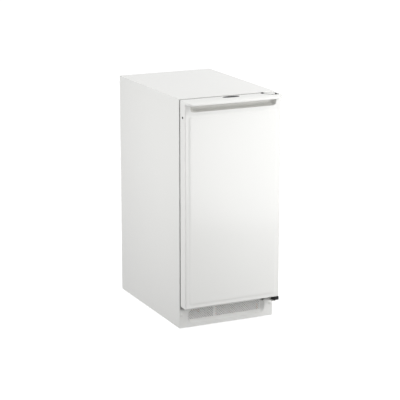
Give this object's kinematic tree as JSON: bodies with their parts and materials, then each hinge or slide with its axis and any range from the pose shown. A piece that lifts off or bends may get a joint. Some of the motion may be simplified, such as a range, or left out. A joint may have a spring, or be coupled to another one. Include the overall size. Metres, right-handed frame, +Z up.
{
  "type": "ice maker",
  "caption": "Narrow undercounter ice maker: insulated cabinet, hinged door with a lip handle, toe grille, ice head, bin and cooling circuit inside.",
  "frame": {"origin": "on the floor, under the middle of the machine's overall box", "axes": "+Z up; the door faces -Y; +X is to the right of a person who faces the door"},
  "size_m": [0.38, 0.627, 0.85],
  "materials": {
    "white_paint": "gloss",
    "white_plastic": "satin",
    "liner_plastic": "gloss",
    "foam": "matte",
    "galvanised": "satin",
    "gasket": "matte",
    "black_plastic": "matte",
    "black_steel": "satin",
    "dark_badge": "gloss",
    "grey_plastic": "matte",
    "copper": "satin",
    "aluminium": "satin",
    "steel": "satin",
    "motor_steel": "satin",
    "rubber": "matte",
    "cast_pump": "matte",
    "clear_tube": "satin",
    "bin_plastic": "satin",
    "wire_white": "gloss"
  },
  "bodies": {
    "cabinet": {"cabinet_wrapper": "white_paint", "cabinet_liner": "liner_plastic", "cabinet_foam": "foam", "machine_ceiling": "galvanised", "front_rail": "white_paint", "rear_panel": "galvanised", "machine_cover": "galvanised", "base_pan": "galvanised", "toe_grille": "white_plastic", "casing_screws": "steel", "top_hinge": "white_paint", "bottom_hinge": "white_paint", "hinge_block": "black_plastic", "compressor_shell": "black_steel", "compressor_pump": "cast_pump", "compressor_mounts": "rubber", "relay_cover": "black_plastic", "condenser_tubes": "copper", "condenser_fins": "aluminium", "fan_shroud": "galvanised", "fan_motor": "motor_steel", "filter_drier": "copper", "discharge_line": "copper", "suction_line": "copper", "cord_gland": "black_plastic", "water_valve": "grey_plastic", "water_line": "clear_tube", "tube_clips": "black_plastic", "evaporator_plate": "aluminium", "bin_shelf": "wire_white", "control_box": "grey_plastic", "thermostat": "grey_plastic", "ice_mould": "aluminium", "mould_heater": "steel", "ice_stripper": "white_plastic", "fill_cup": "grey_plastic", "head_housing": "grey_plastic", "head_cover": "white_plastic", "drive_motor": "motor_steel"},
    "door": {"door_skin": "white_paint", "door_foam": "foam", "door_liner": "liner_plastic", "door_gasket": "gasket", "handle_cap": "white_plastic", "badge_plate": "dark_badge", "side_plug": "black_plastic", "hinge_bushings": "black_plastic"},
    "bin": {"ice_bin": "bin_plastic"},
    "scoop": {"ice_scoop": "bin_plastic"},
    "knob": {"thermostat_knob": "black_plastic"},
    "rocker": {"rocker_switch": "black_plastic"},
    "fan": {"fan_blade": "white_plastic"},
    "ejector": {"ejector_rake": "steel", "ejector_gear": "white_plastic"},
    "pinion": {"motor_pinion": "white_plastic"},
    "arm": {"shutoff_arm": "steel"},
    "foot_front_left": {"foot_front_left": "steel"},
    "foot_front_right": {"foot_front_right": "steel"},
    "foot_rear_left": {"foot_rear_left": "steel"},
    "foot_rear_right": {"foot_rear_right": "steel"}
  },
  "joints": [
    {"name": "door_hinge", "type": "hinge", "parent": "cabinet", "child": "door", "pos_m": [0.174, -0.2785, 0.469], "axis": [0, 0, 1], "range_deg": [0, 95]},
    {"name": "bin_slide", "type": "slide", "parent": "cabinet", "child": "bin", "axis": [0, -1, 0], "range_m": [0, 0.04]},
    {"name": "scoop_off_peg", "type": "slide", "parent": "cabinet", "child": "scoop", "axis": [-1, 0, 0], "range_m": [0, 0.03]},
    {"name": "thermostat_turn", "type": "hinge", "parent": "cabinet", "child": "knob", "pos_m": [0.054, -0.1945, 0.784], "axis": [0, -1, 0], "range_deg": [0, 270]},
    {"name": "switch_rock", "type": "hinge", "parent": "cabinet", "child": "rocker", "pos_m": [0.109, -0.1915, 0.784], "axis": [1, 0, 0], "range_deg": [-14, 0]},
    {"name": "fan_spin", "type": "hinge", "parent": "cabinet", "child": "fan", "pos_m": [0.056, -0.1305, 0.05175], "axis": [0, 1, 0], "continuous": true},
    {"name": "ejector_turn", "type": "hinge", "parent": "cabinet", "child": "ejector", "pos_m": [-0.1, -0.0165, 0.74], "axis": [0, 1, 0], "continuous": true},
    {"name": "pinion_turn", "type": "hinge", "parent": "cabinet", "child": "pinion", "pos_m": [-0.1, -0.0165, 0.773], "axis": [0, 1, 0], "continuous": true},
    {"name": "shutoff_arm_lift", "type": "hinge", "parent": "cabinet", "child": "arm", "pos_m": [-0.054, -0.0025, 0.714], "axis": [1, 0, 0], "range_deg": [0, 30]},
    {"name": "foot_front_left_screw", "type": "slide", "parent": "cabinet", "child": "foot_front_left", "axis": [0, 0, -1], "range_m": [0, 0.016]},
    {"name": "foot_front_right_screw", "type": "slide", "parent": "cabinet", "child": "foot_front_right", "axis": [0, 0, -1], "range_m": [0, 0.016]},
    {"name": "foot_rear_left_screw", "type": "slide", "parent": "cabinet", "child": "foot_rear_left", "axis": [0, 0, -1], "range_m": [0, 0.016]},
    {"name": "foot_rear_right_screw", "type": "slide", "parent": "cabinet", "child": "foot_rear_right", "axis": [0, 0, -1], "range_m": [0, 0.016]}
  ],
  "couplings": [
    {"joint": "pinion_turn", "follows": "ejector_turn", "ratio": -2.6667}
  ]
}
